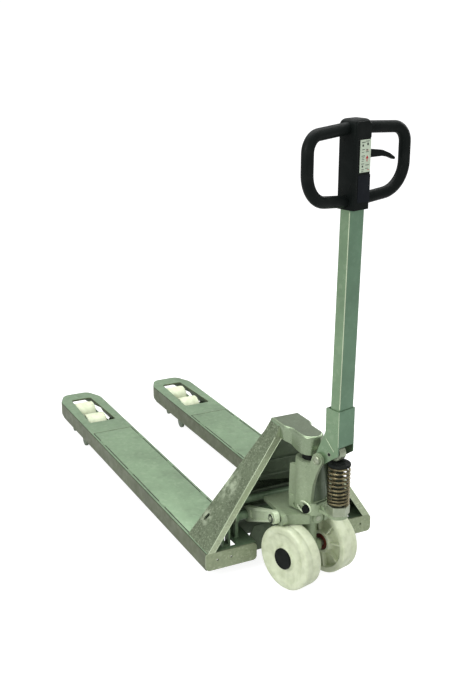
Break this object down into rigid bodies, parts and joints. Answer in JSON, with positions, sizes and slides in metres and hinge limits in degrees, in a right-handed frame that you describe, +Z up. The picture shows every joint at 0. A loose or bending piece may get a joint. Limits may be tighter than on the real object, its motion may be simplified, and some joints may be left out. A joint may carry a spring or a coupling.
{
  "type": "pallet jack",
  "caption": "Hand pallet jack: two long forks with tandem rollers, a hydraulic pump on steered nylon wheels, and a drawbar with a loop handle and lowering lever.",
  "frame": {"origin": "middle of the footprint of the lowered jack, on the floor", "axes": "+X points from the fork tips to the operator, +Y to the right of the operator, +Z up"},
  "size_m": [1.6464, 0.544, 1.277],
  "materials": {
    "galvanised_sheet": "satin, hot-dip galvanised",
    "galvanised_casting": "satin, zinc coated",
    "zinc_steel": "zinc plated",
    "polished_rod": "polished",
    "spring_steel": "yellow passivated",
    "white_nylon": "satin nylon",
    "black_plastic": "satin",
    "black_cap": "satin"
  },
  "bodies": {
    "carrier": {"bearing_yoke": "galvanised_casting", "thrust_bearing": "zinc_steel"},
    "chassis": {"fork_left": "galvanised_sheet", "fork_right": "galvanised_sheet", "side_plate_left": "galvanised_sheet", "side_plate_right": "galvanised_sheet", "front_plate": "galvanised_sheet", "cross_tube": "galvanised_sheet", "heel_plate": "galvanised_sheet", "head": "galvanised_casting", "end_plate_left": "galvanised_sheet", "end_plate_right": "galvanised_sheet", "pivot_bracket_left": "galvanised_sheet", "pivot_bracket_right": "galvanised_sheet", "ram": "polished_rod", "arm_pin_left": "zinc_steel", "arm_pin_right": "zinc_steel"},
    "rocker": {"rocker_arm_left": "galvanised_casting", "rocker_arm_right": "galvanised_casting", "rocker_shaft": "galvanised_sheet", "yoke_pin_left": "zinc_steel", "yoke_pin_right": "zinc_steel"},
    "pump": {"pump_body": "galvanised_casting", "ram_gland": "black_cap", "piston_barrel": "zinc_steel", "wheel_axle": "zinc_steel", "drawbar_pin": "zinc_steel", "pump_spring": "spring_steel"},
    "piston": {"pump_piston": "polished_rod", "spring_cap": "black_cap"},
    "drawbar": {"drawbar_tube": "galvanised_sheet", "drawbar_foot": "galvanised_sheet", "pump_roller_pin": "zinc_steel", "handle_loop": "black_plastic", "handle_housing": "black_plastic", "trigger_pin": "zinc_steel"},
    "foot_roller": {"pump_roller": "zinc_steel"},
    "trigger": {"trigger_lever": "black_plastic"},
    "release": {"release_lever": "zinc_steel"},
    "rod_left": {"push_rod_left": "galvanised_sheet"},
    "arm_left": {"roller_arm_left": "galvanised_sheet", "bogie_stubs_left": "zinc_steel"},
    "bogie_left": {"bogie_left": "galvanised_sheet", "roller_pins_left": "zinc_steel"},
    "roller_left_front": {"load_roller_left_front": "white_nylon"},
    "roller_left_rear": {"load_roller_left_rear": "white_nylon"},
    "wheel_left": {"steer_wheel_left": "white_nylon", "wheel_bearing_left": "zinc_steel", "hub_cap_left": "black_plastic"},
    "rod_right": {"push_rod_right": "galvanised_sheet"},
    "arm_right": {"roller_arm_right": "galvanised_sheet", "bogie_stubs_right": "zinc_steel"},
    "bogie_right": {"bogie_right": "galvanised_sheet", "roller_pins_right": "zinc_steel"},
    "roller_right_front": {"load_roller_right_front": "white_nylon"},
    "roller_right_rear": {"load_roller_right_rear": "white_nylon"},
    "wheel_right": {"steer_wheel_right": "white_nylon", "wheel_bearing_right": "zinc_steel", "hub_cap_right": "black_plastic"}
  },
  "joints": [
    {"name": "lift", "type": "slide", "parent": "carrier", "child": "chassis", "axis": [0, 0, 1], "range_m": [0, 0.115]},
    {"name": "rocker_turn", "type": "hinge", "parent": "chassis", "child": "rocker", "pos_m": [0.48276, 0, 0.1475], "axis": [0, 1, 0], "range_deg": [0, 40.96]},
    {"name": "steer", "type": "hinge", "parent": "carrier", "child": "pump", "pos_m": [0.64176, 0, 0.201], "axis": [0, 0, 1], "range_deg": [-89.5, 60.5]},
    {"name": "drawbar_fold", "type": "hinge", "parent": "pump", "child": "drawbar", "pos_m": [0.69985, 0.01502, 0.388], "axis": [-0.2504, 0.9681, 0], "range_deg": [0, 85], "stiffness_Nm_per_rad": 15, "springref_deg": -57.3},
    {"name": "pump_stroke", "type": "slide", "parent": "pump", "child": "piston", "axis": [0, 0, -1], "range_m": [0, 0.06092], "deforming": ["pump_spring"]},
    {"name": "foot_roller_spin", "type": "hinge", "parent": "drawbar", "child": "foot_roller", "pos_m": [0.7318, 0.02329, 0.412], "axis": [-0.2504, 0.9681, 0], "continuous": true},
    {"name": "trigger_pull", "type": "hinge", "parent": "drawbar", "child": "trigger", "pos_m": [0.75745, 0.02992, 1.19], "axis": [0.9681, 0.2504, 0], "range_deg": [-12, 15], "stiffness_Nm_per_rad": 1.5},
    {"name": "release_turn", "type": "hinge", "parent": "pump", "child": "release", "pos_m": [0.65323, 0.05151, 0.233], "axis": [-0.2504, 0.9681, 0], "range_deg": [-15, 12]},
    {"name": "rod_turn_left", "type": "hinge", "parent": "rocker", "child": "rod_left", "pos_m": [0.49395, -0.19, 0.11752], "axis": [0, 1, 0], "range_deg": [-40.96, 0]},
    {"name": "arm_turn_left", "type": "hinge", "parent": "chassis", "child": "arm_left", "pos_m": [-0.49624, -0.19, 0.038], "axis": [0, -1, 0], "range_deg": [0, 43.93]},
    {"name": "bogie_turn_left", "type": "hinge", "parent": "arm_left", "child": "bogie_left", "pos_m": [-0.66124, -0.19, 0.04], "axis": [0, -1, 0], "range_deg": [-43.93, 0]},
    {"name": "roller_left_front_spin", "type": "hinge", "parent": "bogie_left", "child": "roller_left_front", "pos_m": [-0.72224, -0.19, 0.04], "axis": [0, 1, 0], "continuous": true},
    {"name": "roller_left_rear_spin", "type": "hinge", "parent": "bogie_left", "child": "roller_left_rear", "pos_m": [-0.60024, -0.19, 0.04], "axis": [0, 1, 0], "continuous": true},
    {"name": "wheel_left_spin", "type": "hinge", "parent": "pump", "child": "wheel_left", "pos_m": [0.66076, -0.06946, 0.092], "axis": [-0.2504, 0.9681, 0], "continuous": true},
    {"name": "rod_turn_right", "type": "hinge", "parent": "rocker", "child": "rod_right", "pos_m": [0.49395, 0.19, 0.11752], "axis": [0, 1, 0], "range_deg": [-40.96, 0]},
    {"name": "arm_turn_right", "type": "hinge", "parent": "chassis", "child": "arm_right", "pos_m": [-0.49624, 0.19, 0.038], "axis": [0, -1, 0], "range_deg": [0, 43.93]},
    {"name": "bogie_turn_right", "type": "hinge", "parent": "arm_right", "child": "bogie_right", "pos_m": [-0.66124, 0.19, 0.04], "axis": [0, -1, 0], "range_deg": [-43.93, 0]},
    {"name": "roller_right_front_spin", "type": "hinge", "parent": "bogie_right", "child": "roller_right_front", "pos_m": [-0.72224, 0.19, 0.04], "axis": [0, 1, 0], "continuous": true},
    {"name": "roller_right_rear_spin", "type": "hinge", "parent": "bogie_right", "child": "roller_right_rear", "pos_m": [-0.60024, 0.19, 0.04], "axis": [0, 1, 0], "continuous": true},
    {"name": "wheel_right_spin", "type": "hinge", "parent": "pump", "child": "wheel_right", "pos_m": [0.6247, 0.06996, 0.092], "axis": [-0.2504, 0.9681, 0], "continuous": true}
  ],
  "couplings": [
    {"joint": "rocker_turn", "follows": "lift", "rad_per_m": 6.2147},
    {"joint": "pump_stroke", "follows": "drawbar_fold", "m_per_rad": 0.041},
    {"joint": "release_turn", "follows": "trigger_pull", "ratio": -1},
    {"joint": "rod_turn_left", "follows": "lift", "rad_per_m": -6.2147},
    {"joint": "arm_turn_left", "follows": "lift", "rad_per_m": 6.6654},
    {"joint": "bogie_turn_left", "follows": "lift", "rad_per_m": -6.6654},
    {"joint": "rod_turn_right", "follows": "lift", "rad_per_m": -6.2147},
    {"joint": "arm_turn_right", "follows": "lift", "rad_per_m": 6.6654},
    {"joint": "bogie_turn_right", "follows": "lift", "rad_per_m": -6.6654}
  ]
}
